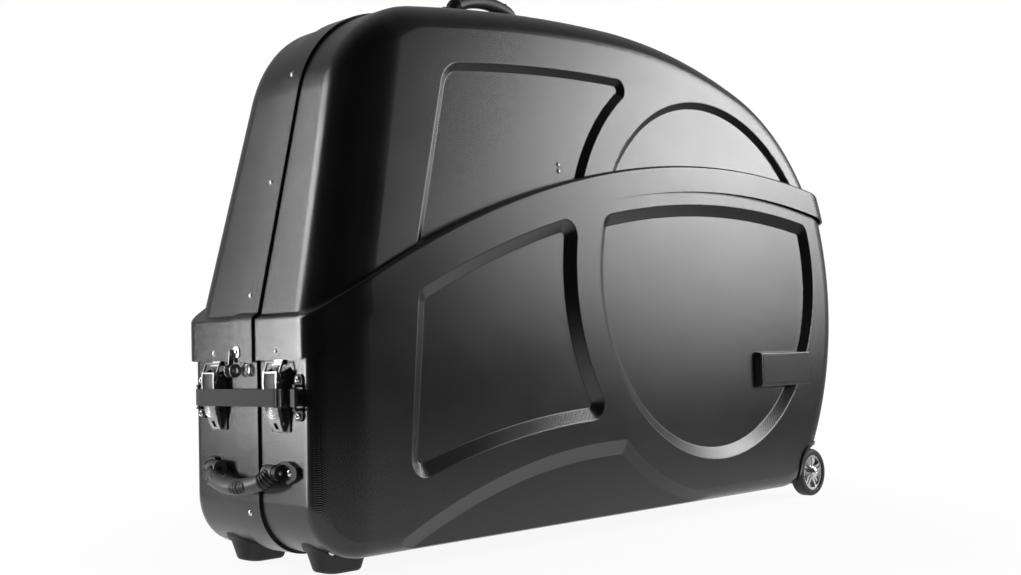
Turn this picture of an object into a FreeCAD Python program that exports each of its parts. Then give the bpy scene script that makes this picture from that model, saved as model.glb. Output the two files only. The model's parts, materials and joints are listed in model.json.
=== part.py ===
import FreeCAD, Part
import math
import os

V = FreeCAD.Vector
ALONG = V(1, 0, 0)
ACROSS = V(0, 1, 0)
UP = V(0, 0, 1)

# Hard bicycle travel case with a lift-off lid. Lengths are in millimetres and angles in degrees.
# X runs from the latch end to the wheel end, -Y is the near side, +Z is up, and the origin
# is on the ground below the middle of the case.

# Formed sheet and common clearances
wall = 4.0
lap_gap = 0.3
seat_gap = 0.4
hole_gap = 0.05
face_gap = 0.4
overrun = 40.0
reach = 3000.0

# Tub, seen from the side and across
front_reach = 682.0
rear_reach = 687.0
rear_bow = 570.0
rear_bow_height = 392.0
floor_height = 26.0
toe_bend = 80.0
heel_bend = 160.0
tub_half_width = 171.0
tub_floor_corner = 25.0
tub_rear_corner = 56.0
form_top = 720.0

# Facets that turn the sides in towards the latch end
facet_back = 73.0
facet_in = 18.0
facet_soft = 120.0
tub_front_corner = 25.0

# Skirt of the lid: its lower edge and its shoulder are arcs in the side view
skirt_x = 290.0
skirt_edge_height = 604.0
skirt_edge_bow = 1780.0
shoulder_height = 652.0
shoulder_bow = 1844.0
shoulder_round = 6.0
shoulder_round_share = 0.66
skirt_space = 5.0

# Lid, seen from the side and across
lid_front_reach = 681.0
lid_front_height = 372.0
lid_front_lean = 13.0
brow_bend = 185.0
crown_x = 0.0
crown_height = 888.5
crown_front_bow = 3000.0
lid_ring = 402.0
lid_half_width = 161.5
lid_side_lean = 4.5
lid_side_taper = 0.7
lid_front_corner = 58.0
lid_crown_corner = 45.0
lid_form_foot = 300.0

# Raised ring and the recessed panels round it
ring_x = 250.0
ring_height = 441.0
ring_inner = 338.0
ring_outer = 399.0
panel_corner = 28.0
tub_point_corner = 28.0
lid_point_corner = 19.0
tub_recess_depth = 12.0
tub_recess_run = 20.0
lid_recess_depth = 8.5
lid_recess_run = 12.0
recess_lip = 5.0
recess_floor_round = 4.0
ring_panel_gap = 24.0
front_panel_gap = 12.0
front_panel_x = -508.0
front_panel_height = 300.0
front_panel_lean = 5.0
front_panel_foot_x = -54.0
front_panel_foot_height = 195.0
front_panel_foot_bow = 1500.0
lower_recess_x = -52.0
lower_recess_height = 156.0
lower_recess_bow = 1140.0
lower_recess_run = 26.0
lid_panel_x = -461.0
lid_panel_height = 600.0
lid_panel_lean = 16.0
lid_panel_corner = 48.0
lid_panel_drop = 95.0
panel_tuck = 40.0

# Badge block, formed in the tub, and its bare plate
badge_x = 476.0
badge_height = 264.0
badge_length = 178.0
badge_tall = 66.0
badge_proud = 0.8
badge_run = 3.5
badge_round = 3.0
badge_border = 7.0
badge_plate_deep = 2.0
badge_plate_proud = 0.5

# Riveted lap of the two halves
lap_edge = -26.0
lap_joint = 22.0

# Rivets
rivet_pitch = 175.0
rivet_head = 9.0
rivet_rise = 2.2
rivet_shank = 4.0
rivet_tail = 2.0
lid_rivet_start = 30.0
tub_rivet_height = 89.0
panel_rivet_x = -166.0
panel_rivet_height = 619.0
panel_rivet_gap = 11.0

# Wheels and their axle
wheel_setback = 112.0
wheel_radius = 48.0
wheel_width = 28.0
wheel_inset = 7.0
tyre_depth = 12.0
tyre_round = 7.0
pocket_gap = 9.0
pocket_side_gap = 6.0
arch_width = 7.0
arch_proud = 3.0
axle_diameter = 8.0
bush_wall = 3.0
hub_rim = 5.0
hub_barrel = 13.0
hub_dish = 5.0
hub_web = 10.0
spoke_count = 5
spoke_width = 4.6
spoke_gap = 8.4
spacer_wall = 3.0
carrier_width = 224.0
carrier_boss = 13.0
carrier_flange = 7.0
carrier_reach = 52.0
carrier_rivet_run = 36.0
carrier_rivet_y = 75.0
cap_diameter = 21.0
cap_thick = 2.5
cap_rise = 4.5

# Feet
foot_x = -601.0
foot_y = 96.0
foot_length = 112.0
foot_width = 56.0
foot_top = 56.0
foot_corner = 27.0
foot_draft = 18.0
foot_sole_round = 8.0
foot_flange = 4.0
foot_flange_thick = 3.0
foot_rivet_y = 134.0
foot_rivet_turn = 241.0

# Draw latches, placed by drop from the skirt's edge and out from the tub's wall
seat_depth = 9.0
latch_spacing = 160.0
base_thick = 2.5
base_length = 92.0
base_top_drop = 13.0
base_corner = 4.0
base_rivet_shares = (0.40, 0.68)
ear_thick = 2.0
ear_radius = 5.5
ear_foot = 10.0
pivot_out = 11.0
pivot_drop = 24.0
pin_diameter = 4.0
bail_pin_diameter = 3.0
bail_pin_out = 5.0
bail_pin_drop = 10.0
lever_width = 34.0
lever_tip_width = 20.0
lever_depth = 10.0
lever_length = 80.0
lever_top = 5.0
lever_top_shares = ((-0.50, 1.00), (0.90, 1.00))
lever_shares = (
    (1.00, -0.12), (0.80, -0.50), (0.05, -0.87), (-0.50, -1.00), (-0.76, -0.97), (-0.30, -0.82),
    (0.25, -0.50), (0.05, -0.18), (-0.50, -0.06),
)
lever_taper_share = 0.45
tip_slot = 8.0
tip_slot_length = 9.0
tip_slot_share = 0.90
pocket_shares = (-0.04, 0.36)
pocket_floor_share = 0.72
lever_rail = 3.0
rib_count = 5
rib_radius = 1.3
rib_start = 7.0
rib_pitch = 3.8
bail_thick = 2.0
bail_side_gap = 0.5
bail_strip = 3.0
bail_bar = 2.4
bail_knee_drop = 20.0
bail_top_drop = 6.2
bail_top_out = 10.8
keeper_thick = 1.5
keeper_width = 20.0
keeper_up = 16.0
keeper_drop = 10.0
keeper_lip = 8.8
keeper_rivet_up = 9.0

# Safety strap, its loops and its hook
strap_width = 25.0
strap_thick = 1.6
strap_drop = 56.0
strap_out = 22.0
strap_bend = 25.0
strap_end_out = 14.2
eyelet_gap = 0.3
loop_y = 124.0
loop_bar = 4.0
loop_out = 9.0
loop_foot = 3.0
loop_foot_length = 15.0
loop_width = 18.0
loop_rivet_gap = 51.0
loop_leg = 4.0
loop_leg_width = 6.0
loop_side_gap = 2.0
loop_corner = 8.0
hook_length = 20.0
hook_grip = 11.0
hook_plate = 1.9

# Padlock eyes beside the seam
eye_plate = 1.5
eye_width = 16.0
eye_tall = 16.0
eye_ring = 20.0
eye_neck = 8.0
eye_hole = 9.5
eye_hole_out = 20.5
eye_hole_drop = 17.0
eye_corner = 6.0
lid_eye_gap = 2.0
tub_eye_gap = 8.0
lid_eye_y = 12.0
tub_eye_y = -2.0

# Carry handles
handle_span = 176.0
handle_bow = 28.5
handle_bend = 18.0
handle_arm = 0.5
grip_thick = 23.0
grip_width = 23.0
grip_round = 10.5
handle_pin = 6.0
pivot_height = 13.0
lug_thick = 9.0
lug_radius = 10.5
lug_gap = 0.5
anchor_thick = 7.0
anchor_width = 31.0
anchor_length = 38.0
anchor_corner = 5.0
anchor_screw = 21.0
anchor_shoulder_share = 0.50
anchor_tip_share = 0.42
screw_head = 10.0
screw_rise = 2.5
screw_shank = 5.0
screw_tail = 3.0
front_handle_height = 151.0
front_handle_droop = 52.0
top_handle_x = -187.0

# Inside: rail, fork mount and cradle
rail_start = -520.0
rail_end = 430.0
rail_width = 50.0
rail_height = 18.0
rail_wall = 2.5
mount_x = -470.0
mount_base = 80.0
mount_thick = 6.0
mount_height = 80.0
mount_post = 26.0
mount_tube = 24.0
mount_span = 100.0
skewer_diameter = 5.0
skewer_nut_diameter = 16.0
skewer_nut_length = 12.0
cam_radius = 7.0
cam_thick = 4.0
cam_gap = 0.7
skewer_lever_length = 52.0
skewer_lever_width = 11.0
skewer_lever_thick = 5.0
cradle_x = 60.0
cradle_length = 70.0
cradle_width = 64.0
cradle_height = 60.0
cradle_groove = 24.0
cradle_plate = 6.0
cradle_wing = 22.0
pad_thick = 6.0
pad_gap = 0.3
bolt_head = 13.0
bolt_head_rise = 5.0
bolt_shank = 6.0
bolt_inset = 110.0
bolt_y = 14.0


# Plain geometry


def at(x, z):
    return V(x, 0, z)


def line(start, end):
    return Part.LineSegment(start, end).toShape()


def facing(turn):
    """Side-view direction at an angle from X."""
    angle = math.radians(turn)
    return at(math.cos(angle), math.sin(angle))


def on_circle(centre, radius, turn):
    return centre + facing(turn) * radius


def arc(centre, radius, start, end):
    middle = (start + end) / 2
    return Part.Arc(*[on_circle(centre, radius, turn) for turn in (start, middle, end)]).toShape()


def heading(start, end):
    return math.degrees(math.atan2(end.z - start.z, end.x - start.x))


def polygon(points):
    return Part.Face(Part.makePolygon(list(points) + [points[0]]))


def slab(face, low, high):
    """A side-view face pulled across the case from one Y to another."""
    face = face.translated(V(0, low, 0))
    return face.extrude(V(0, high - low, 0))


def disc(centre, radius):
    return Part.Face(Part.Wire(Part.makeCircle(radius, centre, ACROSS)))


def rod(start, end, diameter):
    way = end - start
    return Part.makeCylinder(diameter / 2, way.Length, start, way)


def block(low, high):
    size = high - low
    return Part.makeBox(size.x, size.y, size.z, low)


def centred_block(centre, length, width, height):
    half = V(length / 2, width / 2, height / 2)
    return block(centre - half, centre + half)


def mirrored(shape):
    """The same shape on the far side."""
    return shape.mirror(V(), ACROSS)


def both_sides(shape):
    return [shape, mirrored(shape)]


def fused(shapes):
    return shapes[0].multiFuse(shapes[1:]).removeSplitter()


def soften(face, radius):
    """Round the outward corners of a side-view face."""
    return face.makeOffset2D(-radius).makeOffset2D(radius)


def half_space(low, high):
    """Everything between two Y places."""
    return block(V(-reach, low, -reach), V(reach, high, reach))


def domed(place, way, diameter, rise):
    """A domed head on a surface point, facing along way."""
    radius = diameter / 2
    ball = (radius * radius + rise * rise) / (2 * rise)
    latitude = math.degrees(math.asin((ball - rise) / ball))
    return Part.makeSphere(ball, place - way * (ball - rise), way, latitude, 90, 360)


def studs(rows, head, rise, shank):
    """Domed fasteners and the holes for them, from rows of a place, a direction and a length."""
    made = []
    holes = []
    for place, way, length in rows:
        made.append(domed(place, way, head, rise).fuse(rod(place, place - way * length, shank)))
        holes.append(rod(place + way * rise, place - way * (length + wall), shank + 2 * hole_gap))
    return made, holes


def cut_holes(shape, holes):
    return shape.cut(Part.makeCompound(holes))


# Forms of the tub and the lid


rear_centre = at(rear_reach - rear_bow, rear_bow_height)
ring_centre = at(ring_x, ring_height)
crown_front_centre = at(crown_x, crown_height - crown_front_bow)
crown_rise = crown_height - ring_height
crown_run = ring_x - crown_x
crown_rear_bow = (crown_run ** 2 + crown_rise ** 2 - lid_ring ** 2) / (2 * (crown_rise - lid_ring))
crown_rear_centre = at(crown_x, crown_height - crown_rear_bow)
lean = math.radians(lid_front_lean)
lid_front_up = V(math.sin(lean), 0, math.cos(lean))
lid_front_out = V(-math.cos(lean), 0, math.sin(lean))


heel_drop = rear_bow_height - floor_height - heel_bend
heel_run = math.sqrt((rear_bow - heel_bend) ** 2 - heel_drop ** 2)
heel_centre = at(rear_centre.x + heel_run, floor_height + heel_bend)


def brow_centre():
    """Centre of the bend that is tangent to the leaning front and to the crown."""
    start = at(-lid_front_reach, lid_front_height) - lid_front_out * brow_bend
    way = start - crown_front_centre
    along = way.dot(lid_front_up)
    return start + lid_front_up * (
        math.sqrt(along ** 2 - way.dot(way) + (crown_front_bow - brow_bend) ** 2) - along
    )


def tub_outline(grow):
    front = -front_reach - grow
    floor = floor_height - grow
    toe = at(-front_reach + toe_bend, floor_height + toe_bend)
    heel_turn = heading(rear_centre, heel_centre)
    top_turn = math.degrees(math.asin((form_top - rear_centre.z) / (rear_bow + grow)))
    rear_top = on_circle(rear_centre, rear_bow + grow, top_turn)
    return [
        line(at(front, form_top), at(front, toe.z)),
        arc(toe, toe_bend + grow, 180, 270),
        line(at(toe.x, floor), at(heel_centre.x, floor)),
        arc(heel_centre, heel_bend + grow, -90, heel_turn),
        arc(rear_centre, rear_bow + grow, heel_turn, top_turn),
        line(rear_top, at(front, form_top)),
    ]


def lid_outline(grow):
    brow = brow_centre()
    foot = at(-lid_front_reach, lid_front_height)
    foot += lid_front_up * ((lid_form_foot - lid_front_height) / lid_front_up.z) + lid_front_out * grow
    brow_turn = heading(crown_front_centre, brow)
    ring_turn = heading(crown_rear_centre, ring_centre)
    end_turn = math.degrees(math.asin((lid_form_foot - ring_height) / (lid_ring + grow)))
    start = foot + lid_front_up * ((lid_form_foot - foot.z) / lid_front_up.z)
    return [
        line(start, brow + lid_front_out * (brow_bend + grow)),
        arc(brow, brow_bend + grow, heading(V(), lid_front_out), brow_turn),
        arc(crown_front_centre, crown_front_bow + grow, brow_turn, 90),
        arc(crown_rear_centre, crown_rear_bow + grow, 90, ring_turn),
        arc(ring_centre, lid_ring + grow, ring_turn, end_turn),
        line(on_circle(ring_centre, lid_ring + grow, end_turn), start),
    ]


def share_along(piece, point):
    """How far along an outline piece a point lies, from 0 to 1."""
    place = piece.Curve.parameter(at(point.x, point.z))
    return (place - piece.FirstParameter) / (piece.LastParameter - piece.FirstParameter)


def round_edges(solid, rows):
    """Round numbered edges, each with a radius at its start and at its end."""
    work = FreeCAD.newDocument()
    base = work.addObject("Part::Feature")
    base.Shape = solid
    blend = work.addObject("Part::Fillet")
    blend.Base = base
    blend.Edges = rows
    work.recompute()
    result = blend.Shape.Solids[0]
    FreeCAD.closeDocument(work.Name)
    return result


def round_sides(solid, outline, radii):
    """Round the side edges over an outline's pieces, with a radius at the start and end of each."""
    rows = []
    for piece, (first, last) in zip(outline, radii):
        for number, edge in enumerate(solid.Edges, 1):
            start, middle, end = edge.discretize(3)
            across = abs(end.y - start.y) > (end - start).Length / 2
            if across or piece.distToShape(Part.Vertex(middle.x, 0, middle.z))[0] > hole_gap:
                continue
            places = [edge.valueAt(edge.FirstParameter), edge.valueAt(edge.LastParameter)]
            ends = [first + (last - first) * share_along(piece, place) for place in places]
            rows.append((number, ends[0], ends[1]))
    return round_edges(solid, rows)


def turn_in(solid, outside, pivot, axis, grow):
    """Cut both facets, which turn in towards the latch end, and soften where they meet the sides."""
    turn = FreeCAD.Rotation(axis, -math.degrees(math.atan(facet_in / facet_back)))
    cutter = outside.transformed(FreeCAD.Placement(V(), turn, pivot).toMatrix())
    for side in both_sides(cutter):
        solid = solid.cut(side)
    plain = solid.Solids[0]
    rows = []
    for number, edge in enumerate(plain.Edges, 1):
        middle = edge.valueAt((edge.FirstParameter + edge.LastParameter) / 2)
        way = edge.tangentAt(edge.FirstParameter)
        from_pivot = V(middle.x, -abs(middle.y), middle.z) - pivot
        near_axis = from_pivot.cross(axis).Length < facet_in
        if near_axis and abs(way.y) < facet_in / facet_back and abs(way.z) > abs(way.x):
            rows.append((number, facet_soft + grow, facet_soft + grow))
    return round_edges(plain, rows)


def tub_form(grow):
    outline = tub_outline(grow)
    half = tub_half_width + grow
    solid = slab(Part.Face(Part.Wire(outline)), -half, half)
    pivot = V(-front_reach + facet_back, -tub_half_width, floor_height)
    solid = turn_in(solid, half_space(-half - reach, -half), pivot, UP, grow)
    front = tub_front_corner + grow
    floor = tub_floor_corner + grow
    rear = tub_rear_corner + grow
    radii = [(front, front), (front, floor), (floor, floor), (floor, rear), (rear, rear)]
    return round_sides(solid, outline, radii)


lid_turn = FreeCAD.Rotation(UP, -lid_side_taper).multiply(FreeCAD.Rotation(ALONG, -lid_side_lean))
lid_tilt = FreeCAD.Placement(V(), lid_turn, V(ring_x, -lid_half_width, shoulder_height)).toMatrix()


def lid_form(grow):
    outline = lid_outline(grow)
    solid = slab(Part.Face(Part.Wire(outline)), -tub_half_width - overrun, tub_half_width + overrun)
    outside = half_space(-lid_half_width - grow - reach, -lid_half_width - grow).transformed(lid_tilt)
    for side in both_sides(outside):
        solid = solid.cut(side)
    pivot = lid_tilt.multVec(V(-lid_front_reach + facet_back, -lid_half_width, lid_front_height))
    solid = turn_in(solid, outside, pivot, lid_turn.multVec(lid_front_up), grow)
    front = lid_front_corner + grow
    crown = lid_crown_corner + grow
    radii = [(front, front), (front, crown), (crown, crown), (crown, crown), (crown, crown)]
    return round_sides(solid, outline, radii)


def under(apex_height, bow):
    """Side-view face below an arc whose top is at the skirt's middle."""
    return disc(at(skirt_x, apex_height - bow), bow)


def below(apex_height, bow):
    return slab(under(apex_height, bow), -reach, reach)


skirt_out = skirt_space + wall
shoulder_centre = at(skirt_x, shoulder_height - shoulder_bow)
shoulder_reach = front_reach + skirt_out
shoulder_front = shoulder_centre.z + math.sqrt(shoulder_bow ** 2 - (skirt_x + shoulder_reach) ** 2)
shoulder_ledge = shoulder_reach - lid_front_reach + (shoulder_front - lid_front_height) * math.tan(lean)
shoulder_bend = min(shoulder_round, shoulder_round_share * shoulder_ledge)


def shoulder(grow):
    return below(shoulder_height + grow, shoulder_bow + grow)


def round_shoulder(solid, skirt, grow):
    """Round the outer edge of the shoulder, as far as the lid's front leaves a ledge on it."""
    if shoulder_bend <= 0:
        return solid
    faces = Part.makeCompound(skirt.Faces)
    edges = []
    for edge in solid.Edges:
        middle = edge.valueAt((edge.FirstParameter + edge.LastParameter) / 2)
        off_arc = at(middle.x, middle.z).distanceToPoint(shoulder_centre) - shoulder_bow - grow
        if abs(off_arc) < hole_gap and faces.distToShape(Part.Vertex(middle))[0] < hole_gap:
            edges.append(edge)
    return solid.makeFillet(shoulder_bend + grow, edges)


rim = shoulder(-wall - seat_gap)
skirt_edge = below(skirt_edge_height, skirt_edge_bow)


# Recesses of the near side, on its plain side plane


def recess(face, depth, run, grow, plane):
    """A drafted pocket: its mouth on the side plane, its floor drawn in and set back by depth."""
    lip = face.makeOffset2D(grow * math.hypot(run, depth) / depth) if grow else face
    floor = lip.makeOffset2D(-run * (depth + grow) / depth)
    mouth = lip.OuterWire.translated(V(0, plane, 0))
    pocket = Part.makeLoft([mouth, floor.OuterWire.translated(V(0, plane + depth + grow, 0))], True, True)
    if not grow:
        low = [edge for edge in pocket.Edges if edge.BoundBox.YMin > plane + depth - hole_gap]
        pocket = pocket.makeFillet(recess_floor_round, low)
    return pocket.fuse(slab(lip, plane - overrun, plane))


def round_lips(solid, faces, plane, tilt=None):
    """Round the mouths of the recesses."""
    lips = []
    for face in faces:
        wire = face.OuterWire.translated(V(0, plane, 0))
        lips.append(wire.transformed(tilt) if tilt else wire)
    edges = []
    for edge in solid.Edges:
        points = edge.discretize(3)
        for lip in lips:
            if max(lip.distToShape(Part.Vertex(point))[0] for point in points) < hole_gap:
                edges.append(edge)
    return solid.makeFillet(recess_lip, edges)


def leaning_side(x, height, turn, low, high):
    """Side-view face to the right of a line that leans back by an angle."""
    slope = math.tan(math.radians(turn))
    foot = at(x + slope * (low - height), low)
    head = at(x + slope * (high - height), high)
    return polygon([foot, at(ring_x, low), at(ring_x, high), head])


def ring_panel_face():
    top = under(skirt_edge_height - ring_panel_gap, skirt_edge_bow - ring_panel_gap)
    return soften(disc(ring_centre, ring_inner).common(top).Faces[0], panel_corner)


def front_panel_face():
    side = leaning_side(front_panel_x, front_panel_height, front_panel_lean, floor_height, form_top)
    top = under(skirt_edge_height - front_panel_gap, skirt_edge_bow - front_panel_gap)
    foot_centre = at(front_panel_foot_x, front_panel_foot_height - front_panel_foot_bow)
    foot = disc(foot_centre, front_panel_foot_bow)
    face = soften(side.common(top).cut(foot).Faces[0], panel_corner)
    return soften(face.cut(disc(ring_centre, ring_outer)).Faces[0], tub_point_corner)


def skirt_tuck():
    """Side-view face that ends the lid's panels some way below the shoulder."""
    return under(shoulder_height - panel_tuck, shoulder_bow - panel_tuck)


def lid_panel_face():
    low = skirt_edge_height - skirt_x
    side = leaning_side(lid_panel_x, lid_panel_height, lid_panel_lean, low, crown_height)
    top = disc(crown_front_centre, crown_front_bow - lid_panel_drop)
    face = soften(side.common(top).Faces[0], lid_panel_corner)
    face = face.cut(disc(ring_centre, ring_outer)).cut(skirt_tuck())
    return soften(max(face.Faces, key=lambda each: each.Area), lid_point_corner)


def lid_ring_face():
    face = disc(ring_centre, ring_inner).cut(skirt_tuck())
    return soften(face.Faces[0], lid_point_corner)


def lower_recess(grow):
    """The long recess along the tub's lower edge, which runs out under the floor."""
    centre = at(lower_recess_x, lower_recess_height - lower_recess_bow)
    plane = V(0, -tub_half_width, 0)
    deep = tub_recess_depth + grow
    deep_share = deep / tub_recess_depth
    top = lower_recess_bow + grow * math.hypot(lower_recess_run, tub_recess_depth) / tub_recess_depth
    ring = ring_outer - grow * math.hypot(tub_recess_run, tub_recess_depth) / tub_recess_depth
    cone = Part.makeCone(top, top - lower_recess_run * deep_share, deep, centre + plane, ACROSS)
    ring_cone = Part.makeCone(ring, ring + tub_recess_run * deep_share, deep, ring_centre + plane, ACROSS)
    mouth = slab(disc(centre, top), plane.y - overrun, plane.y)
    ring_mouth = slab(disc(ring_centre, ring), plane.y - overrun, plane.y)
    side = block(
        V(-reach, plane.y - overrun, -overrun),
        V(ring_x, plane.y + deep, lower_recess_height + overrun),
    )
    return cone.fuse(mouth).common(side).cut(ring_cone.fuse(ring_mouth))


def badge_block(face_grow, plane):
    """The badge block as a drafted solid, larger by face_grow all round, with its face at a Y place."""
    root = -tub_half_width + tub_recess_depth + wall / 2
    tall = badge_tall / 2 + face_grow
    long = badge_length / 2 + face_grow
    wires = []
    for y, more in ((plane, 0), (root, badge_run)):
        corners = [(-1, -1), (1, -1), (1, 1), (-1, 1)]
        points = []
        for along, up in corners:
            points.append(V(badge_x + along * (long + more), y, badge_height + up * (tall + more)))
        wires.append(Part.makePolygon(points + points[:1]))
    body = Part.makeLoft(wires, True, True)
    if face_grow < 0:
        return body
    return body.makeFillet(badge_round, [edge for edge in body.Edges if edge.BoundBox.YMin < root - hole_gap])


badge_face = -tub_half_width - badge_proud
wheel_centre = at(rear_reach - wheel_setback, wheel_radius)
wheel_outer_y = -tub_half_width + wheel_inset
wheel_inner_y = wheel_outer_y + wheel_width
pocket_y = wheel_inner_y + pocket_side_gap


def wheel_pocket(grow):
    face = disc(wheel_centre, wheel_radius + pocket_gap + grow)
    return slab(face, -tub_half_width - overrun, pocket_y + grow)


def tub_one_side():
    """The tub's sheet with the near side's features."""
    plane = -tub_half_width
    faces = [ring_panel_face(), front_panel_face()]
    outer = tub_form(0)
    arch = slab(disc(wheel_centre, wheel_radius + pocket_gap + arch_width), plane - overrun, pocket_y)
    for face in faces:
        outer = outer.cut(recess(face, tub_recess_depth, tub_recess_run, 0, plane))
    outer = round_lips(outer, faces, plane)
    outer = outer.cut(lower_recess(0)).fuse(tub_form(arch_proud).common(arch))
    outer = outer.fuse(badge_block(0, badge_face)).cut(wheel_pocket(0))
    inner = tub_form(-wall)
    for face in faces:
        inner = inner.cut(recess(face, tub_recess_depth, tub_recess_run, wall, plane))
    inner = inner.cut(lower_recess(wall)).cut(wheel_pocket(wall))
    inner = inner.fuse(badge_block(-wall, badge_face + wall + badge_plate_deep))
    shell = outer.cut(inner).common(rim)
    plate_pocket = centred_block(
        V(badge_x, badge_face, badge_height),
        badge_length - 2 * badge_border,
        2 * badge_plate_deep,
        badge_tall - 2 * badge_border,
    )
    return shell.cut(plate_pocket)


def lid_one_side():
    """The lid's sheet with the near side's features."""
    plane = -lid_half_width
    faces = [lid_panel_face(), lid_ring_face()]
    upper = lid_form(0)
    inner = lid_form(-wall)
    for face in faces:
        upper = upper.cut(recess(face, lid_recess_depth, lid_recess_run, 0, plane).transformed(lid_tilt))
        inner = inner.cut(recess(face, lid_recess_depth, lid_recess_run, wall, plane).transformed(lid_tilt))
    upper = round_lips(upper, faces, plane, lid_tilt)
    skirt = tub_form(skirt_out)
    outer = upper.cut(shoulder(0)).fuse(skirt.common(shoulder(0)).cut(skirt_edge))
    outer = round_shoulder(outer, skirt, 0)
    inner = inner.cut(shoulder(-wall)).fuse(tub_form(skirt_space).common(shoulder(-wall)))
    return outer.cut(inner)


def tub_middle(grow, low, high):
    return slab(Part.Face(Part.Wire(tub_outline(grow))), low, high).common(rim)


def lid_middle(grow, low, high):
    upper = slab(Part.Face(Part.Wire(lid_outline(grow))), low, high).cut(shoulder(grow))
    face = Part.Face(Part.Wire(tub_outline(skirt_out + grow)))
    band = slab(face, low, high).common(shoulder(grow)).cut(skirt_edge)
    return round_shoulder(upper.fuse(band), slab(face, low - overrun, high + overrun), grow)


def halves(one_side, middle):
    """Near sheet with a plain edge, and far sheet whose edge steps out over it."""
    near = one_side.common(half_space(-reach, lap_joint))
    joint = lap_joint + lap_gap
    lap = lap_gap + wall
    far = mirrored(one_side).common(half_space(joint, reach))
    step = middle(lap, joint, joint + wall).cut(middle(-wall, joint, joint + wall))
    band = middle(lap, lap_edge, joint).cut(middle(lap_gap, lap_edge, joint))
    return near.Solids[0], far.multiFuse([step, band]).removeSplitter().Solids[0]


# Places of the hardware


def meet(centre, radius, other, other_radius):
    """The crossing of two side-view circles that lies further along X."""
    way = other - centre
    along = (way.Length ** 2 + radius ** 2 - other_radius ** 2) / (2 * way.Length)
    aside = math.sqrt(radius ** 2 - along ** 2)
    way.normalize()
    across = way.cross(ACROSS)
    crossings = [centre + way * along + across * side for side in (aside, -aside)]
    return max(crossings, key=lambda point: point.x)


def rear_place(origin, turn):
    """A frame at the wheel end, with its outward direction raised by a turn."""
    return FreeCAD.Placement(origin, FreeCAD.Rotation(ACROSS, -turn).multiply(FreeCAD.Rotation(UP, 180)))


lap_out = lap_gap + wall
floor_inside = floor_height + wall
skirt_centre = at(skirt_x, skirt_edge_height - skirt_edge_bow)
front_run = front_reach + skirt_space + skirt_x
front_edge = at(-front_reach, skirt_centre.z + math.sqrt(skirt_edge_bow ** 2 - front_run ** 2))
rear_edge = meet(rear_centre, rear_bow, skirt_centre, skirt_edge_bow)
latch_middle = base_top_drop + base_length / 2
rear_edge_turn = heading(rear_centre, rear_edge)
rear_turn = rear_edge_turn - math.degrees(latch_middle / rear_bow)
rear_latch = on_circle(rear_centre, rear_bow, rear_turn) + facing(rear_turn + 90) * latch_middle
front_frame = FreeCAD.Placement(front_edge, FreeCAD.Rotation())
rear_frame = rear_place(rear_latch, rear_turn)
latch_frames = {"front": front_frame, "rear": rear_frame}
keeper_frames = {"front": front_frame, "rear": rear_place(rear_edge, rear_edge_turn)}
latch_ys = {
    "front": {"near": -latch_spacing / 2, "far": latch_spacing / 2},
    "rear": {"near": latch_spacing / 2, "far": -latch_spacing / 2},
}
handle_frame = FreeCAD.Placement(at(-front_reach, front_handle_height), FreeCAD.Rotation())
top_turn = math.degrees(math.asin(top_handle_x / (crown_front_bow + lap_out)))
top_frame = FreeCAD.Placement(
    on_circle(crown_front_centre, crown_front_bow + lap_out, 90 - top_turn),
    FreeCAD.Rotation(ACROSS, top_turn).multiply(FreeCAD.Rotation(-UP, ALONG, -ACROSS, "XYZ")),
)
# Turns a shape drawn with Y as x and the outward distance as z into a frame at the case's end
plan_turn = FreeCAD.Matrix(0, 0, -1, 0, 1, 0, 0, 0, 0, -1, 0, 0, 0, 0, 0, 1)


def moved(shape, frame):
    return shape.transformed(frame.toMatrix())


def local(out, drop):
    """Side-view point in a frame: out from the wall and down from its origin."""
    return at(-out, -drop)


def row(frame, place, length):
    """A fastener's place, outward direction and shank length."""
    return frame.multVec(place), frame.Rotation.multVec(-ALONG), length


def across_rod(place, half, diameter):
    return rod(place - V(0, half, 0), place + V(0, half, 0), diameter)


def pin_hole(place, half, diameter):
    return across_rod(place, half, diameter + 2 * hole_gap)


def strip(points, width):
    """Side-view face of a strip along points, with round ends."""
    pieces = [disc(point, width / 2) for point in points]
    for start, end in zip(points, points[1:]):
        side = (end - start).cross(ACROSS)
        side.multiply(width / 2 / side.Length)
        pieces.append(polygon([start + side, end + side, end - side, start - side]))
    return fused(pieces).Faces[0]


def round_along(shape, corner, way):
    """Round the edges that run along a direction."""
    edges = []
    for edge in shape.Edges:
        if abs(edge.tangentAt(edge.FirstParameter).dot(way)) > 1 - hole_gap:
            edges.append(edge)
    return shape.makeFillet(corner, edges)


def seam_spots(outline, start, stop, side):
    """Evenly pitched rivets along an outline, between two lengths, facing out of the case."""
    rows = []
    for number in range(int((stop - start) / rivet_pitch) + 1):
        length = start + number * rivet_pitch
        for piece in outline:
            if length <= piece.Length:
                break
            length -= piece.Length
        place = piece.getParameterByLength(length)
        way = piece.tangentAt(place)
        rows.append((piece.valueAt(place), V(way.z * side, 0, -way.x * side), lap_out + wall + rivet_tail))
    return rows


def lid_seam_rows():
    outline = lid_outline(lap_out)[:-1]
    front_z = shoulder_centre.z + math.sqrt(shoulder_bow ** 2 - (skirt_x + lid_front_reach) ** 2)
    start = (front_z - lid_form_foot) / lid_front_up.z + lid_rivet_start
    end = meet(ring_centre, lid_ring, shoulder_centre, shoulder_bow)
    foot = outline[-1].valueAt(outline[-1].LastParameter)
    spare = (lid_ring + lap_out) * math.radians(heading(ring_centre, end) - heading(ring_centre, foot))
    rows = seam_spots(outline, start, sum(piece.Length for piece in outline) - spare - lid_rivet_start, -1)
    anchor_middle = handle_span / 2 - lug_thick / 2 + anchor_length / 2
    return [
        each for each in rows
        if abs(abs(each[0].x - top_handle_x) - anchor_middle) > anchor_length / 2 + rivet_head
    ]


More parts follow.
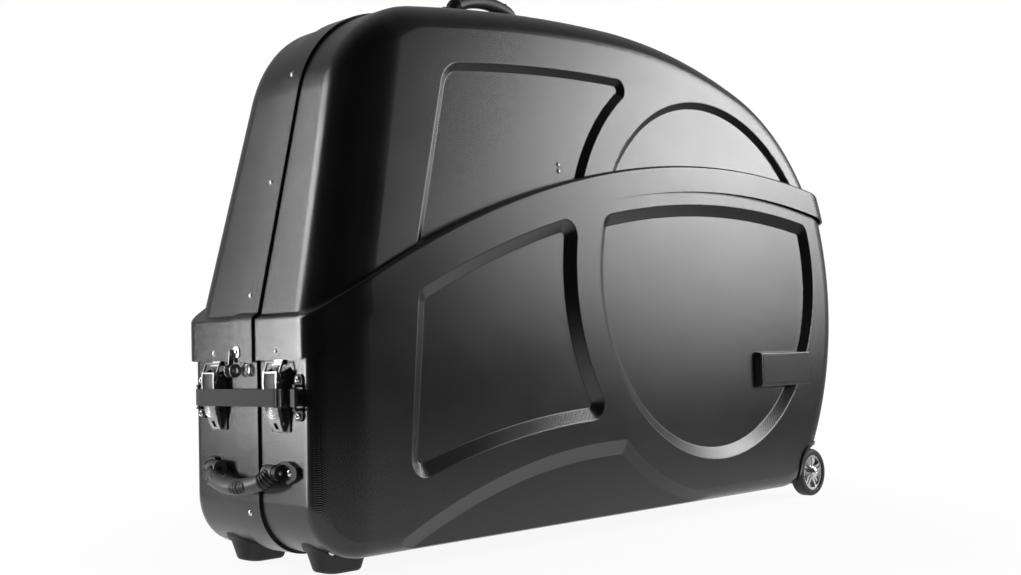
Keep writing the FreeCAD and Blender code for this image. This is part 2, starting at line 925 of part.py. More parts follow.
def tub_seam_rows():
    outline = tub_outline(lap_out)[:-1]
    toe_turn = math.asin((floor_height + toe_bend - tub_rivet_height) / toe_bend)
    start = outline[0].Length + (toe_bend + lap_out) * toe_turn - rivet_pitch
    top = outline[-1].valueAt(outline[-1].LastParameter)
    spare = (rear_bow + lap_out) * math.radians(heading(rear_centre, top) - rear_edge_turn)
    return seam_spots(outline, start, sum(piece.Length for piece in outline) - spare - lid_rivet_start, 1)


def panel_rows():
    """Two rivets in each panel of the lid, above its shoulder."""
    rows = []
    way = lid_turn.multVec(-ACROSS)
    for rise in (-panel_rivet_gap / 2, panel_rivet_gap / 2):
        place = V(panel_rivet_x, lid_recess_depth - lid_half_width, panel_rivet_height + rise)
        place = lid_tilt.multVec(place)
        for side in (1, -1):
            facing_out = V(way.x, way.y * side, way.z)
            rows.append((V(place.x, place.y * side, place.z), facing_out, wall + rivet_tail))
    return rows


# Latches


pivot = local(pivot_out, pivot_drop)
bail_pin_place = local(pivot_out + bail_pin_out, pivot_drop + bail_pin_drop)
bail_inner = lever_width / 2 + bail_side_gap
bail_outer = bail_inner + bail_thick
ear_inner = bail_outer + bail_side_gap
ear_outer = ear_inner + ear_thick
base_rivet_drops = [base_top_drop + share * base_length for share in base_rivet_shares]


def latch_base():
    plate = block(
        V(-base_thick, -ear_outer, -base_top_drop - base_length),
        V(seat_depth, ear_outer, -base_top_drop),
    )
    plate = round_along(plate, base_corner, ALONG)
    foot = polygon([
        local(0, pivot_drop - ear_foot),
        local(pivot_out, pivot_drop - ear_radius),
        local(pivot_out, pivot_drop + ear_radius),
        local(0, pivot_drop + ear_foot),
    ])
    ear = slab(foot.fuse(disc(pivot, ear_radius)), ear_inner, ear_outer)
    return fused([plate] + both_sides(ear)).cut(pin_hole(pivot, ear_outer + overrun, pin_diameter))


def latch_lever():
    points = [pivot + local(share * lever_depth, -up * lever_top) for share, up in lever_top_shares]
    points += [pivot + local(share * lever_depth, -up * lever_length) for share, up in lever_shares]
    wide = lever_width / 2
    narrow = lever_tip_width / 2
    bend = pivot.z - lever_taper_share * lever_length
    tip = pivot.z - lever_length - lever_top
    tops = [(-wide, overrun), (-wide, bend), (-narrow, tip), (narrow, tip), (wide, bend), (wide, overrun)]
    front = polygon([V(-overrun, y, z) for y, z in tops]).extrude(V(2 * overrun, 0, 0))
    slope = points[4] - points[3]
    lower = block(V(-overrun, -wide, tip), V(overrun, wide, points[3].z))
    ribs = []
    for number in range(rib_count):
        ring = Part.makeTorus(rib_start + number * rib_pitch, rib_radius, points[3], slope.cross(ACROSS))
        ribs.append(ring.common(lower))
    body = fused([slab(polygon(points), -wide, wide)] + ribs).common(front)
    half = tip_slot / 2
    eye = pivot.z - tip_slot_share * lever_length
    length = tip_slot_length / 2
    body = body.cut(block(V(-overrun, -half, eye - length), V(overrun, half, eye + length)))
    rail = wide - lever_rail
    top, foot = [pivot.z - share * lever_length for share in pocket_shares]
    floor = pivot.x - pocket_floor_share * lever_depth
    body = body.cut(block(V(floor - overrun, -rail, foot), V(floor, rail, top)))
    body = body.cut(pin_hole(pivot, overrun, pin_diameter))
    return body.cut(pin_hole(bail_pin_place, overrun, bail_pin_diameter)).Solids[0]


def latch_bail():
    top = local(bail_top_out, bail_top_drop)
    knee = at(bail_pin_place.x, -bail_knee_drop)
    arm = slab(strip([bail_pin_place, knee, top], bail_strip), bail_inner, bail_outer)
    eye = slab(disc(bail_pin_place, bail_strip), bail_inner, bail_outer)
    whole = fused(both_sides(arm) + both_sides(eye) + [across_rod(top, bail_outer, bail_bar)])
    return whole.cut(pin_hole(bail_pin_place, overrun, bail_pin_diameter)).Solids[0]


def keeper(frame, y, inside_skirt):
    """A strip under the skirt with a lip below the skirt's edge."""
    left = y - keeper_width / 2
    right = y + keeper_width / 2
    back = keeper_thick - skirt_space
    plate = moved(block(V(-skirt_space, left, -keeper_drop), V(back, right, keeper_up)), frame)
    lip = block(V(-keeper_lip, left, -keeper_drop), V(back, right, keeper_thick - keeper_drop))
    return fused([plate.common(inside_skirt), moved(lip, frame)]).Solids[0]


# Strap, loops and eyes


def strap_loop():
    """A footman loop: a bar held off the wall by two legs on riveted feet."""
    pieces = [rod(V(-loop_out, 0, -loop_rivet_gap / 2), V(-loop_out, 0, loop_rivet_gap / 2), loop_bar)]
    inner = strap_width / 2 + loop_side_gap
    half = loop_width / 2
    for side in (-1, 1):
        heights = sorted([side * inner, side * (inner + loop_leg)])
        front = loop_out + loop_bar / 2
        leg = loop_leg_width / 2
        pieces.append(block(V(-front, -leg, heights[0]), V(0, leg, heights[1])))
        heights = sorted([side * inner, side * (loop_rivet_gap / 2 + loop_foot_length / 2)])
        foot = block(V(-loop_foot, -half, heights[0]), V(seat_depth, half, heights[1]))
        pieces.append(round_along(foot, loop_corner, ALONG))
    bar_limit = block(V(-overrun, -half, -inner - loop_leg), V(overrun, half, inner + loop_leg))
    return fused([pieces[0].common(bar_limit)] + pieces[1:])


def plan_slab(face):
    """A face drawn with Y as x and the outward distance as z, as wide as the strap."""
    return slab(face, strap_drop - strap_width / 2, strap_drop + strap_width / 2).transformed(plan_turn)


strap_middle = strap_out + strap_thick / 2
strap_tip = hook_grip - loop_y - hook_length / 2


def strap():
    bar = at(loop_y, loop_out)
    eyelet = loop_bar / 2 + eyelet_gap
    path = [
        bar + UP * (eyelet + strap_thick / 2),
        at(loop_y - strap_bend, strap_middle),
        at(strap_bend - loop_y, strap_middle),
        at(strap_tip + hook_grip, strap_end_out),
        at(strap_tip, strap_end_out),
    ]
    face = strip(path, strap_thick).fuse(disc(bar, eyelet + strap_thick)).removeSplitter()
    return plan_slab(face.cut(disc(bar, eyelet)).Faces[0]).Solids[0]


def strap_hook():
    low = at(-loop_y - hook_length / 2, strap_end_out - strap_thick / 2 - hook_plate)
    high = at(hook_length / 2 - loop_y, strap_end_out + strap_thick / 2 + hook_plate)
    body = polygon([low, at(high.x, low.z), high, at(low.x, high.z)])
    slot_path = [at(strap_tip, strap_end_out), at(high.x + overrun, strap_end_out)]
    slot = strip(slot_path, strap_thick + 2 * hole_gap)
    return plan_slab(body.cut(slot).Faces[0]).Solids[0]


def padlock_eye(wall_out, y, top):
    """A riveted plate on a wall with a ring that stands out beside it for a padlock."""
    right = y + eye_width / 2
    plate = block(V(-wall_out - eye_plate, y - eye_width / 2, top - eye_tall), V(-wall_out, right, top))
    plate = round_along(plate, eye_corner, ALONG)
    hole = local(eye_hole_out, eye_hole_drop)
    neck = strip([at(-wall_out - eye_neck / 2, top - eye_tall / 2), hole], eye_neck)
    ring = slab(neck.fuse(disc(hole, eye_ring / 2)), right - eye_plate, right)
    return fused([plate, ring]).cut(across_rod(hole, overrun, eye_hole)).Solids[0]


# Handles


handle_leg = handle_span / 2 - lug_thick / 2 - lug_gap - grip_thick / 2
lug_side = handle_span / 2 - lug_thick / 2
pin_start = handle_leg - grip_thick / 4
pin_end = lug_side + lug_thick


def handle_grip():
    """The grip about its hinge axis, which runs along Y, with its bow facing out."""
    arch = 2 * math.atan((handle_bow - handle_arm - handle_bend) / (handle_leg - handle_bend))
    arch_turn = math.degrees(arch)
    arch_bow = (handle_leg - handle_bend * (1 - math.sin(arch))) / math.sin(arch)
    arch_centre = at(0, handle_bow - arch_bow)
    bend_x = handle_leg - handle_bend
    path = Part.Wire([
        line(at(-handle_leg, 0), at(-handle_leg, handle_arm)),
        arc(at(-bend_x, handle_arm), handle_bend, 180, 90 + arch_turn),
        arc(arch_centre, arch_bow, 90 + arch_turn, 90 - arch_turn),
        arc(at(bend_x, handle_arm), handle_bend, 90 - arch_turn, 0),
        line(at(handle_leg, handle_arm), at(handle_leg, 0)),
    ])
    corner = V(-handle_leg - grip_thick / 2, -grip_width / 2, 0)
    profile = soften(Part.makePlane(grip_thick, grip_width, corner, UP), grip_round)
    pieces = [path.makePipeShell([profile.OuterWire], True, False)]
    for side in (-handle_leg, handle_leg):
        pieces.append(rod(at(side - grip_thick / 2, 0), at(side + grip_thick / 2, 0), grip_width))
    whole = fused(pieces)
    whole = whole.cut(rod(at(-reach, 0), at(reach, 0), handle_pin + 2 * hole_gap))
    return whole.transformed(plan_turn).Solids[0]


def handle_anchor():
    """The far anchor: a pointed base with a lug that holds the hinge pin."""
    wide = anchor_width / 2
    narrow = wide * anchor_tip_share
    bend = lug_side + anchor_length * anchor_shoulder_share
    tip = lug_side + anchor_length
    half = [(lug_side, wide), (bend, wide), (tip, narrow)]
    corners = half + [(y, -z) for y, z in reversed(half)]
    face = polygon([V(-anchor_thick, y, z) for y, z in corners])
    base = round_along(face.extrude(ALONG * (anchor_thick + seat_depth)), anchor_corner, ALONG)
    hinge = local(pivot_height, 0)
    foot = polygon([
        at(0, anchor_width / 2 - anchor_corner / 2),
        at(hinge.x, lug_radius),
        at(hinge.x, -lug_radius),
        at(0, anchor_corner / 2 - anchor_width / 2),
    ])
    lug = slab(foot.fuse(disc(hinge, lug_radius)), lug_side, lug_side + lug_thick)
    return fused([base, lug]).cut(pin_hole(hinge, reach, handle_pin))


def handle_pieces(frame, seat, droop):
    """Grip, anchors, pins and the rows of screws of one handle."""
    turn = FreeCAD.Placement(local(pivot_height, 0), FreeCAD.Rotation(ACROSS, -droop))
    grip = moved(moved(handle_grip(), turn), frame)
    anchors = [moved(anchor, frame).cut(seat) for anchor in both_sides(handle_anchor())]
    hinge = local(pivot_height, 0)
    pin = rod(hinge + ACROSS * pin_start, hinge + ACROSS * pin_end, handle_pin)
    pins = [moved(each, frame) for each in both_sides(pin)]
    rows = []
    for side in (-1, 1):
        place = V(-anchor_thick, side * (lug_side + anchor_screw), 0)
        rows.append(row(frame, place, anchor_thick + wall + screw_tail))
    return grip, anchors, pins, rows


# Wheels and feet


wheel_bore = axle_diameter / 2 + 2 * hole_gap + bush_wall
tyre_seat = wheel_radius - tyre_depth


def wheel_tyre():
    tyre = slab(disc(wheel_centre, wheel_radius), wheel_outer_y, wheel_inner_y)
    edges = [edge for edge in tyre.Edges if edge.Closed]
    return tyre.makeFillet(tyre_round, edges).cut(slab(disc(wheel_centre, tyre_seat), -reach, reach))


def wheel_hub():
    rim_face = disc(wheel_centre, tyre_seat - hole_gap).cut(disc(wheel_centre, tyre_seat - hub_rim))
    pieces = [
        slab(rim_face, wheel_outer_y + hub_dish / 2, wheel_inner_y - hub_dish / 2),
        slab(disc(wheel_centre, hub_barrel), wheel_outer_y, wheel_inner_y),
    ]
    for number in range(spoke_count):
        turn = 90 + 360 * number / spoke_count
        end = on_circle(wheel_centre, tyre_seat - hub_rim / 2, turn)
        for offset in (-spoke_gap / 2, spoke_gap / 2):
            aside = facing(turn + 90) * offset
            bar = strip([wheel_centre + aside, end + aside], spoke_width)
            bar = bar.common(disc(wheel_centre, tyre_seat - hub_rim / 2))
            pieces.append(slab(bar, wheel_outer_y + hub_dish, wheel_outer_y + hub_dish + hub_web))
    return fused(pieces).cut(slab(disc(wheel_centre, wheel_bore), -reach, reach)).Solids[0]


def tube(centre, outer, inner, low, high):
    return slab(disc(centre, outer).cut(disc(centre, inner)), low, high)


def axle_fittings():
    """End cap and spacing collar of the near wheel."""
    end = wheel_outer_y - face_gap
    bore = axle_diameter / 2 + hole_gap
    dome = domed(wheel_centre + ACROSS * (end - cap_thick), -ACROSS, cap_diameter, cap_rise)
    cap = fused([slab(disc(wheel_centre, cap_diameter / 2), end - cap_thick, end), dome])
    cap = cap.cut(slab(disc(wheel_centre, bore), axle_end - hole_gap, reach))
    return [cap, tube(wheel_centre, bore + spacer_wall, bore, wheel_inner_y + face_gap, -carrier_width / 2)]


axle_end = wheel_outer_y - face_gap - cap_thick / 2
axle_turn = heading(heel_centre, wheel_centre)


def axle_carrier(lap_seat):
    """The bracket that holds the axle under the tub's rear corner, on a flange shaped to the tub."""
    tub_face = Part.Face(Part.Wire(tub_outline(hole_gap)))
    flange = disc(wheel_centre, carrier_reach).common(Part.Face(Part.Wire(tub_outline(carrier_flange))))
    inward = facing(axle_turn) * carrier_reach
    boss = strip([wheel_centre, wheel_centre - inward], 2 * carrier_boss)
    half = carrier_width / 2
    body = fused([slab(face.cut(tub_face), -half, half) for face in (flange, boss)]).cut(lap_seat)
    return body.cut(pin_hole(wheel_centre, reach, axle_diameter))


def carrier_rows():
    rows = []
    run = math.degrees(carrier_rivet_run / heel_bend)
    for turn in (axle_turn - run, axle_turn + run):
        for y in (-carrier_rivet_y, carrier_rivet_y):
            place = on_circle(heel_centre, heel_bend + carrier_flange, turn) + ACROSS * y
            rows.append((place, facing(turn), carrier_flange + wall + rivet_tail))
    return rows


toe = at(toe_bend - front_reach, floor_height + toe_bend)


def foot_layer(grow, rise):
    """A layer of the near foot that follows the bend it sits on, up to a rise from the tub's bottom."""
    wires = []
    for height, less in ((0, foot_draft - grow), (foot_top, -grow)):
        corner = V(foot_x - foot_length / 2 + less, less - foot_y - foot_width / 2, height)
        face = Part.makePlane(foot_length - 2 * less, foot_width - 2 * less, corner, UP)
        wires.append(soften(face, foot_corner - less).OuterWire)
    bend = across_rod(toe, reach, 2 * (toe_bend + rise))
    level = block(V(toe.x, -reach, floor_height - rise), V(reach, reach, reach))
    return Part.makeLoft(wires, True, True).common(bend.fuse(level)).removeSplitter()


def on_sole(edge):
    """Whether an edge goes round the sole: the seam across the sole at the end of the bend does not."""
    middle = edge.valueAt((edge.FirstParameter + edge.LastParameter) / 2)
    ahead = min(middle.x - toe.x, 0)
    rise = math.hypot(ahead, middle.z - toe.z) - toe_bend - floor_height
    across = edge.BoundBox.XLength < hole_gap and abs(middle.x - toe.x) < hole_gap
    return abs(rise) < hole_gap and not across


def foot(seat):
    """The near foot: a rounded pad on a thin flange."""
    pad = foot_layer(0, floor_height)
    pad = pad.makeFillet(foot_sole_round, [edge for edge in pad.Edges if on_sole(edge)])
    return fused([pad, foot_layer(foot_flange, foot_flange_thick)]).cut(seat).Solids[0]


def foot_rows():
    """Rivets beside the feet, on the bend of the tub's front."""
    way = facing(foot_rivet_turn)
    place = toe + way * toe_bend
    return [(place + ACROSS * y, way, wall + rivet_tail) for y in (-foot_rivet_y, foot_rivet_y)]


# Inside


rail_top = floor_inside + rail_height
tube_centre = at(mount_x, rail_top + mount_height)
skewer_end = mount_span / 2 + cam_radius + face_gap
cam_inner = skewer_diameter / 2 + cam_gap
cam_outer = cam_inner + cam_thick


def base_rail():
    outer = block(V(rail_start, -rail_width / 2, floor_inside), V(rail_end, rail_width / 2, rail_top))
    half = rail_width / 2 - rail_wall
    return outer.cut(block(V(rail_start, -half, floor_inside), V(rail_end, half, rail_top - rail_wall)))


def rail_rows():
    rows = []
    deep = rail_top - floor_height + lap_out + rivet_tail
    for x in (rail_start + bolt_inset, rail_end - bolt_inset):
        rows += [(V(x, side * bolt_y, rail_top), UP, deep) for side in (-1, 1)]
    shallow = mount_thick + rail_wall + screw_tail
    for x in (mount_x - mount_base / 2 + bolt_head, mount_x + mount_base / 2 - bolt_head):
        rows.append((at(x, rail_top + mount_thick), UP, shallow))
    wing = cradle_length / 2 + cradle_wing / 2
    for x in (cradle_x - wing, cradle_x + wing):
        rows.append((at(x, rail_top + cradle_plate), UP, shallow))
    return rows


def fork_mount():
    plate = centred_block(at(mount_x, rail_top + mount_thick / 2), mount_base, rail_width, mount_thick)
    post = block(
        V(mount_x - mount_post / 2, -mount_post / 2, rail_top),
        V(mount_x + mount_post / 2, mount_post / 2, tube_centre.z),
    )
    cross = across_rod(tube_centre, mount_span / 2, mount_tube)
    return fused([plate, post, cross]).cut(pin_hole(tube_centre, reach, skewer_diameter))


def skewer_rod():
    start = tube_centre - ACROSS * (mount_span / 2 + skewer_nut_length)
    end = tube_centre + ACROSS * skewer_end
    return fused([
        rod(start, end, skewer_diameter),
        rod(end - ALONG * cam_outer, end + ALONG * cam_outer, skewer_diameter),
    ])


def skewer_nut():
    end = -mount_span / 2
    bore = skewer_diameter / 2 + hole_gap
    return tube(tube_centre, skewer_nut_diameter / 2, bore, end - skewer_nut_length, end)


def skewer_lever():
    """Two cam cheeks on the skewer's cross pin, joined above it by the handle."""
    pin = tube_centre + ACROSS * skewer_end
    thick = ACROSS * (skewer_lever_thick / 2)
    neck = UP * (2 * cam_radius)
    pieces = []
    for side in (-1, 1):
        inner = pin + ALONG * (side * cam_inner)
        outer = pin + ALONG * (side * cam_outer)
        pieces.append(rod(inner, outer, 2 * cam_radius))
        low, high = sorted([inner, outer], key=lambda point: point.x)
        pieces.append(block(low - thick, high + thick + neck))
    wide = ALONG * cam_outer
    pieces.append(block(pin - wide - thick + UP * cam_radius, pin + wide + thick + neck))
    slim = ALONG * (skewer_lever_width / 2)
    pieces.append(block(pin - slim - thick + neck, pin + slim + thick + UP * skewer_lever_length))
    bore = rod(pin - ALONG * overrun, pin + ALONG * overrun, skewer_diameter + 2 * hole_gap)
    return fused(pieces).cut(bore).Solids[0]


groove_centre = at(cradle_x, rail_top + cradle_height)


def cradle():
    foot = at(cradle_x, rail_top)
    body = centred_block(foot + UP * (cradle_height / 2), cradle_length, cradle_width, cradle_height)
    long = cradle_length + 2 * cradle_wing
    plate = centred_block(foot + UP * (cradle_plate / 2), long, rail_width, cradle_plate)
    groove = slab(disc(groove_centre, cradle_groove / 2 + pad_thick + pad_gap), -reach, reach)
    return fused([body, plate]).cut(groove)


def cradle_pad():
    inner = cradle_groove / 2
    half = cradle_width / 2
    ring = tube(groove_centre, inner + pad_thick, inner, -half, half)
    return ring.common(block(V(-reach, -reach, -reach), V(reach, reach, groove_centre.z)))


def badge_plate():
    centre = V(badge_x, badge_face + (badge_plate_deep - badge_plate_proud) / 2, badge_height)
    less = 2 * badge_border + 2 * face_gap
    thick = badge_plate_deep + badge_plate_proud
    return centred_block(centre, badge_length - less, thick, badge_tall - less)


# Everything together


def make_nodes():
    nodes = {}
    tub_seat = tub_form(hole_gap)
    lap_start = lap_edge - face_gap
    lap_end = lap_joint + lap_gap + wall + face_gap
    tub_lap_seat = slab(Part.Face(Part.Wire(tub_outline(lap_out + hole_gap))), lap_start, lap_end)
    lid_lap_seat = slab(Part.Face(Part.Wire(lid_outline(lap_out + hole_gap))), lap_start, lap_end)
    inside_skirt = tub_form(skirt_space - hole_gap)

    bases = {}
    latch_pins = []
    keepers = []
    loops = []
    hardware_rows = []
    skirt_rows = []
    base_holes = []
    for end, frame in latch_frames.items():
        edge_frame = keeper_frames[end]
        bases[end] = []
        for side, y in latch_ys[end].items():
            shift = FreeCAD.Placement(V(0, y, 0), FreeCAD.Rotation())
            latch = frame.multiply(shift)
            name = end + "_" + side + "_latch_"
            bases[end].append(moved(latch_base(), latch).cut(tub_seat))
            nodes[name + "lever"] = moved(latch_lever(), latch)
            nodes[name + "bail"] = moved(latch_bail(), latch)
            bail_pin = across_rod(bail_pin_place, bail_outer, bail_pin_diameter)
            nodes[name + "bail_pin"] = moved(bail_pin, latch)
            latch_pins.append(moved(across_rod(pivot, ear_outer, pin_diameter), latch))
            for drop in base_rivet_drops:
                base_holes.append(row(latch, local(base_thick, drop), base_thick + wall + rivet_tail))
            keepers.append(keeper(edge_frame, y, inside_skirt))
            place = V(-skirt_out, y, keeper_rivet_up)
            skirt_rows.append(row(edge_frame, place, wall + keeper_thick + rivet_tail))
            loop_side = loop_y if y > 0 else -loop_y
            loop = FreeCAD.Placement(V(0, loop_side, -strap_drop), FreeCAD.Rotation())
            loops.append(moved(strap_loop(), frame.multiply(loop)).cut(tub_seat))
            for rise in (-loop_rivet_gap / 2, loop_rivet_gap / 2):
                place = V(-loop_foot, loop_side, rise - strap_drop)
                hardware_rows.append(row(frame, place, loop_foot + wall + rivet_tail))
        nodes[end + "_strap"] = moved(strap(), frame)
        nodes[end + "_strap_hook"] = moved(strap_hook(), frame)
    hardware_rows += base_holes + carrier_rows() + foot_rows()

    tub_lap = lap_out + hole_gap
    skirt_lap = skirt_out + lap_out + hole_gap
    tub_eye = padlock_eye(tub_lap, tub_eye_y, -tub_eye_gap)
    lid_eye = padlock_eye(skirt_lap, lid_eye_y, eye_tall + lid_eye_gap)
    through = eye_plate + lap_out + wall
    tub_place = V(-tub_lap - eye_plate, tub_eye_y, -tub_eye_gap - eye_tall / 2)
    hardware_rows.append(row(front_frame, tub_place, through + rivet_tail))
    lid_place = V(-skirt_lap - eye_plate, lid_eye_y, lid_eye_gap + eye_tall / 2)
    skirt_rows.append(row(front_frame, lid_place, through))

    grip, anchors, pins, screw_rows = handle_pieces(handle_frame, tub_seat, front_handle_droop)
    nodes["front_handle_grip"] = grip
    top_grip, top_anchors, top_pins, top_rows = handle_pieces(top_frame, lid_lap_seat, 0)
    nodes["top_handle_grip"] = top_grip
    top_rows = [(place, way, length + lap_out) for place, way, length in top_rows]

    screws, screw_holes = studs(screw_rows, screw_head, screw_rise, screw_shank)
    top_screws, top_holes = studs(top_rows, screw_head, screw_rise, screw_shank)
    tub_rivets, tub_rivet_holes = studs(tub_seam_rows(), rivet_head, rivet_rise, rivet_shank)
    lid_rivets, lid_rivet_holes = studs(lid_seam_rows(), rivet_head, rivet_rise, rivet_shank)
    panel_rivets, panel_holes = studs(panel_rows(), rivet_head, rivet_rise, rivet_shank)
    tub_fixings, tub_fixing_holes = studs(hardware_rows, rivet_head, rivet_rise, rivet_shank)
    skirt_rivets, skirt_holes = studs(skirt_rows, rivet_head, rivet_rise, rivet_shank)
    bolts, bolt_holes = studs(rail_rows(), bolt_head, bolt_head_rise, bolt_shank)

    axle = across_rod(wheel_centre, -axle_end, axle_diameter)
    tub_holes = screw_holes + tub_rivet_holes + tub_fixing_holes + bolt_holes
    lid_holes = top_holes + lid_rivet_holes + panel_holes + skirt_holes
    tub_near, tub_far = halves(tub_one_side(), tub_middle)
    lid_near, lid_far = halves(lid_one_side(), lid_middle)
    nodes["tub_near_shell"] = cut_holes(tub_near, tub_holes)
    nodes["tub_far_shell"] = cut_holes(tub_far, tub_holes)
    nodes["lid_near_shell"] = cut_holes(lid_near, lid_holes)
    nodes["lid_far_shell"] = cut_holes(lid_far, lid_holes)

    nodes["feet"] = both_sides(foot(tub_seat))
    nodes["tub_seam_rivets"] = tub_rivets
    nodes["lid_seam_rivets"] = lid_rivets
    nodes["lid_panel_rivets"] = panel_rivets
    nodes["tub_hardware_rivets"] = tub_fixings
    nodes["skirt_rivets"] = skirt_rivets
    for end in latch_frames:
        nodes[end + "_latch_bases"] = [cut_holes(base, tub_fixing_holes) for base in bases[end]]
    nodes["latch_pins"] = latch_pins
    nodes["latch_keepers"] = [cut_holes(each, skirt_holes) for each in keepers]
    nodes["strap_loops"] = [cut_holes(each, tub_fixing_holes) for each in loops]
    nodes["tub_padlock_eye"] = cut_holes(moved(tub_eye, front_frame).cut(tub_lap_seat), tub_fixing_holes)
    nodes["lid_padlock_eye"] = cut_holes(moved(lid_eye, front_frame), skirt_holes)
    nodes["front_handle_anchors"] = [cut_holes(each, screw_holes) for each in anchors]
    nodes["front_handle_pins"] = pins
    nodes["front_handle_screws"] = screws
    nodes["top_handle_anchors"] = [cut_holes(each, top_holes) for each in top_anchors]
    nodes["top_handle_pins"] = top_pins
    nodes["top_handle_screws"] = top_screws

    bush_bore = axle_diameter / 2 + hole_gap
    bush = tube(wheel_centre, wheel_bore - hole_gap, bush_bore, wheel_outer_y, wheel_inner_y)
    for name, piece in (("tyre", wheel_tyre()), ("hub", wheel_hub()), ("bush", bush)):
        nodes["near_wheel_" + name] = piece
        nodes["far_wheel_" + name] = mirrored(piece)
    nodes["wheel_axle"] = axle
    nodes["axle_carrier"] = cut_holes(axle_carrier(tub_lap_seat), tub_fixing_holes)
    nodes["axle_fittings"] = [piece for each in axle_fittings() for piece in both_sides(each)]

    nodes["badge_plates"] = both_sides(badge_plate())
    nodes["base_rail"] = cut_holes(base_rail(), bolt_holes)
    nodes["rail_bolts"] = bolts
    nodes["fork_mount"] = cut_holes(fork_mount(), bolt_holes)
    nodes["skewer_rod"] = skewer_rod()
    nodes["skewer_nut"] = skewer_nut()
    nodes["skewer_lever"] = skewer_lever()
    nodes["bracket_cradle"] = cut_holes(cradle(), bolt_holes)
    nodes["cradle_pad"] = cradle_pad()
    return nodes


def middle_of(nodes):
    """Half way between the carry handle at one end and the strap at the other."""
    return (
        nodes["front_handle_grip"].optimalBoundingBox().XMin + nodes["rear_strap"].optimalBoundingBox().XMax
    ) / 2


if __name__ == "__main__":
    os.makedirs("parts", exist_ok=True)
    made_nodes = make_nodes()
    to_middle = V(-middle_of(made_nodes), 0, 0)
    for node, made in made_nodes.items():
        shape = Part.makeCompound(made) if isinstance(made, list) else made
        shape.translated(to_middle).exportStep("parts/" + node + ".step")
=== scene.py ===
import json
import math

import bpy
from mathutils import Matrix, Vector


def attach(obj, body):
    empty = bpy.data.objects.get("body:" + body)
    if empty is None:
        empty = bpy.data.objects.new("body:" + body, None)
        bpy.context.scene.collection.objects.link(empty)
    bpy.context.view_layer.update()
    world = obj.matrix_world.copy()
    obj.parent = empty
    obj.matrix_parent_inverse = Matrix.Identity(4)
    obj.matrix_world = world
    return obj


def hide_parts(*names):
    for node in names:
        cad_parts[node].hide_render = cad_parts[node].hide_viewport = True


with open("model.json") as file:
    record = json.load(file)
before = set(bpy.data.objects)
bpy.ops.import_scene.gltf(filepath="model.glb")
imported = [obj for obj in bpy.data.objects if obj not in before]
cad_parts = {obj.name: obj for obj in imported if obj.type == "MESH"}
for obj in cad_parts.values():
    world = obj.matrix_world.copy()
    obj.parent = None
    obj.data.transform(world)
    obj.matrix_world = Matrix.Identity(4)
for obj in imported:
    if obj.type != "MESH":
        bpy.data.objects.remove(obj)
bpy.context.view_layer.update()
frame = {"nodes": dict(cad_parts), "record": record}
nodes = frame["nodes"]
scene = bpy.context.scene

# Camera, found from the photograph: place in metres, turns in degrees, focal length in pixels
camera_place = Vector((-1.721584, -1.58131, 0.31103))
camera_yaw = 45.32
camera_pitch = 2.93
camera_roll = -1.5
camera_focus = 1269.9
photo_width = 1021
sensor = 36.0


# Materials

def add(tree, kind, **values):
    node = tree.nodes.new("ShaderNode" + kind)
    for name, value in values.items():
        setattr(node, name, value)
    return node


def maths(tree, operation, first, second=None):
    node = add(tree, "Math", operation=operation)
    for socket, value in zip(node.inputs, (first, second)):
        if value is None:
            continue
        if isinstance(value, (int, float)):
            socket.default_value = value
        else:
            tree.links.new(value, socket)
    return node.outputs[0]


def along(tree, place, way):
    node = add(tree, "VectorMath", operation="DOT_PRODUCT")
    tree.links.new(place, node.inputs[0])
    node.inputs[1].default_value = way
    return node.outputs["Value"]


def noise(tree, place, scale, detail=4.0):
    node = add(tree, "TexNoise")
    tree.links.new(place, node.inputs["Vector"])
    node.inputs["Scale"].default_value = scale
    node.inputs["Detail"].default_value = detail
    return node.outputs["Fac"]


def spread(tree, value, low, high):
    """A value from 0 to 1 spread between two numbers."""
    node = add(tree, "MapRange")
    tree.links.new(value, node.inputs["Value"])
    node.inputs["To Min"].default_value = low
    node.inputs["To Max"].default_value = high
    return node.outputs["Result"]


def tint(tree, value, dark, light):
    node = add(tree, "Mix", data_type="RGBA")
    tree.links.new(value, node.inputs["Factor"])
    node.inputs["A"].default_value = (*dark, 1)
    node.inputs["B"].default_value = (*light, 1)
    return node.outputs["Result"]


def bump(tree, height, distance):
    node = add(tree, "Bump")
    tree.links.new(height, node.inputs["Height"])
    node.inputs["Distance"].default_value = distance
    node.inputs["Strength"].default_value = 1.0
    return node.outputs["Normal"]


grain_ways = ((1, 1, 1), (1, 0.9, -1))


def diamonds(tree, place, pitch):
    """A fine diamond grain on every side: two crossing waves."""
    turn = 2 * math.pi / pitch
    waves = []
    for way in grain_ways:
        waves.append(maths(tree, "SINE", along(tree, place, [turn * part for part in way])))
    return maths(tree, "ADD", *waves)


def new_material(name):
    material = bpy.data.materials.new(name)
    material.use_nodes = True
    tree = material.node_tree
    shader = tree.nodes["Principled BSDF"]
    place = add(tree, "TexCoord").outputs["Object"]
    return material, tree, shader, place


# Scales of noise are in repeats per metre, and depths are in metres
mottle_scale = 14.0
mottle_light = 1.35
sheen_change = 0.05
fine_scale = 900.0
fine_detail = 2.0
fine_share = 0.6
fine_depth = 0.00004
smudge_scale = 60.0
smudge_dark = 0.86
smudge_change = 0.06
scratch_scale = 1400.0
scratch_depth = 0.00001


